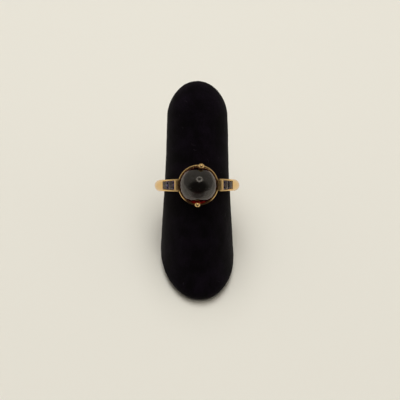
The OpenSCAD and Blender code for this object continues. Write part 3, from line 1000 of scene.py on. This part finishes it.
def ring_lamp(tree, view, right, up, radius, tube_r, brightness):
    """The glow of a ring-shaped lamp, brightest along the middle of its tube, in degrees"""
    right, up = math.radians(right), math.radians(up)
    middle = (math.sin(right) * math.cos(up), -math.cos(right) * math.cos(up), math.sin(up))
    towards = add(tree, "ShaderNodeVectorMath", (view, middle), operation="DOT_PRODUCT")
    off_middle = maths(tree, "ARCCOSINE", towards.outputs["Value"])
    off_tube = maths(tree, "ABSOLUTE", maths(tree, "SUBTRACT", off_middle, math.radians(radius)))
    return spread(tree, off_tube, 0.0, math.radians(tube_r), brightness, 0.0,
                  interpolation_type="SMOOTHSTEP")


def dim_room(stage):
    """The room that the gold and the stones mirror: dim all round, darker in front and below,
    with a ring-shaped lamp above; past the floor's edge it shows as a pale backdrop"""
    world = bpy.data.worlds.new("dim room")
    world.use_nodes = True
    tree = world.node_tree
    tree.nodes.clear()
    direction = add(tree, "ShaderNodeTexCoord").outputs["Generated"]
    view = seen_from_camera(tree, stage, direction)
    in_front = dark_patch(tree, view, right=1, up=-14, half_w=66, half_h=42, darkest=0.16)
    below = dark_patch(tree, view, right=0, up=-70, half_w=80, half_h=32, darkest=0.4)
    dark = maths(tree, "MULTIPLY", in_front, below)
    # The paper lies below the horizon, and the room's walls above it
    height = split(tree, direction)["Z"]
    around = spread(tree, height, -0.08, 0.02, stage.mirrored_paper, stage.room)
    glow = ring_lamp(tree, view, right=9, up=36, radius=14, tube_r=6.5, brightness=1.9)
    mirrored = maths(tree, "MULTIPLY_ADD", dark, around, glow)
    seen = add(tree, "ShaderNodeLightPath").outputs["Is Camera Ray"]
    shown = add(tree, "ShaderNodeMix", {0: seen, 2: mirrored, 3: stage.backdrop},
                data_type="FLOAT")
    warm = (*stage.room_tint, 1)
    background = add(tree, "ShaderNodeBackground", {"Color": warm, "Strength": shown})
    add(tree, "ShaderNodeOutputWorld", (background,))
    return world


def hang_light(name, shape, size, power, over, height, turn):
    """An area light at a height over a point, tipped from the zenith, that the gold and the
    stones don't mirror"""
    lamp = bpy.data.lights.new(name, "AREA")
    lamp.shape, lamp.size, lamp.energy = shape, size, power
    light = bpy.data.objects.new(name, lamp)
    light.rotation_euler = turn
    light.location = over + light.rotation_euler.to_matrix() @ Vector((0, 0, height))
    light.visible_glossy = False
    bpy.context.scene.collection.objects.link(light)


def place_camera(scene, finger):
    """Sets the camera at the photo's viewing angle, aimed from the finger hole's middle"""
    stage = scene.stage_settings
    turn = (Matrix.Rotation(stage.azimuth, 3, "Z")
            @ Matrix.Rotation(math.pi / 2 - stage.elevation, 3, "X")
            @ Matrix.Rotation(stage.roll, 3, "Z"))
    right, upright, back = turn.col
    aim = finger + stage.aim_right * right - stage.aim_down * upright
    lens = bpy.data.cameras.new("camera")
    lens.lens, lens.sensor_width = stage.lens, 36
    lens.clip_start, lens.clip_end = 0.01, 10
    camera = bpy.data.objects.new("camera", lens)
    camera.location = aim + back * stage.distance
    camera.rotation_euler = turn.to_euler()
    scene.collection.objects.link(camera)
    scene.camera = camera


class RING_OT_stage(bpy.types.Operator):
    """Lay the paper floor, and set the camera and the light"""
    bl_idname = "ring.stage"
    bl_label = "Stage"

    def execute(self, context):
        scene = context.scene
        stage = scene.stage_settings
        half = stage.floor_w / 2
        corners = [(-half, -half, 0), (half, -half, 0), (half, half, 0), (-half, half, 0)]
        paper = bpy.data.meshes.new("paper_floor")
        paper.from_pydata(corners, [], [(0, 1, 2, 3)])
        paper.materials.append(cream_paper(scene.finishes))
        floor = new_object("paper_floor", paper)
        floor.visible_glossy = False        # the room has its own paper, darker in front

        finger = on_stand(scene).to_translation()
        place_camera(scene, finger)
        # The softbox hangs behind the ring, so that the foot's shadow falls forward
        hang_light("softbox", "DISK", stage.softbox_d, stage.softbox, finger, stage.softbox_h,
                   (-stage.softbox_behind, stage.softbox_beside, 0))
        hang_light("fill panel", "SQUARE", stage.fill_w, stage.fill, finger, stage.fill_h,
                   (0, 0, 0))
        scene.world = dim_room(stage)
        scene.view_settings.view_transform = "Standard"
        return {"FINISHED"}


class VIEW3D_PT_cabochon_ring(bpy.types.Panel):
    """Lists the pieces of the ring and its stand, and their sizes"""
    bl_label = "Cabochon Ring"
    bl_space_type = "VIEW_3D"
    bl_region_type = "UI"
    bl_category = "Cabochon Ring"

    def draw(self, context):
        for operator in OPERATORS:
            self.layout.operator(operator.bl_idname)
        for group in SETTINGS:
            settings = getattr(context.scene, group)
            for name in settings.__annotations__:
                self.layout.prop(settings, name)


OPERATORS = (RING_OT_stage, RING_OT_velvet_stand, RING_OT_gold_mount,
             RING_OT_garnet_cabochon, RING_OT_side_stones)
SETTINGS = {"ring_sizes": RingSizes, "claw_sizes": ClawSizes, "stand_sizes": StandSizes,
            "finishes": Finishes, "stage_settings": StageSettings}


def register():
    for group, kind in SETTINGS.items():
        bpy.utils.register_class(kind)
        setattr(bpy.types.Scene, group, PointerProperty(type=kind))
    for kind in (*OPERATORS, VIEW3D_PT_cabochon_ring):
        bpy.utils.register_class(kind)


def unregister():
    for kind in (VIEW3D_PT_cabochon_ring, *reversed(OPERATORS)):
        bpy.utils.unregister_class(kind)
    for group, kind in SETTINGS.items():
        delattr(bpy.types.Scene, group)
        bpy.utils.unregister_class(kind)


def main():
    """Builds every piece in order"""
    register()
    bpy.ops.ring.stage()
    bpy.ops.ring.velvet_stand()
    bpy.ops.ring.gold_mount()
    bpy.ops.ring.garnet_cabochon()
    bpy.ops.ring.side_stones()


if __name__ == "__main__":
    main()
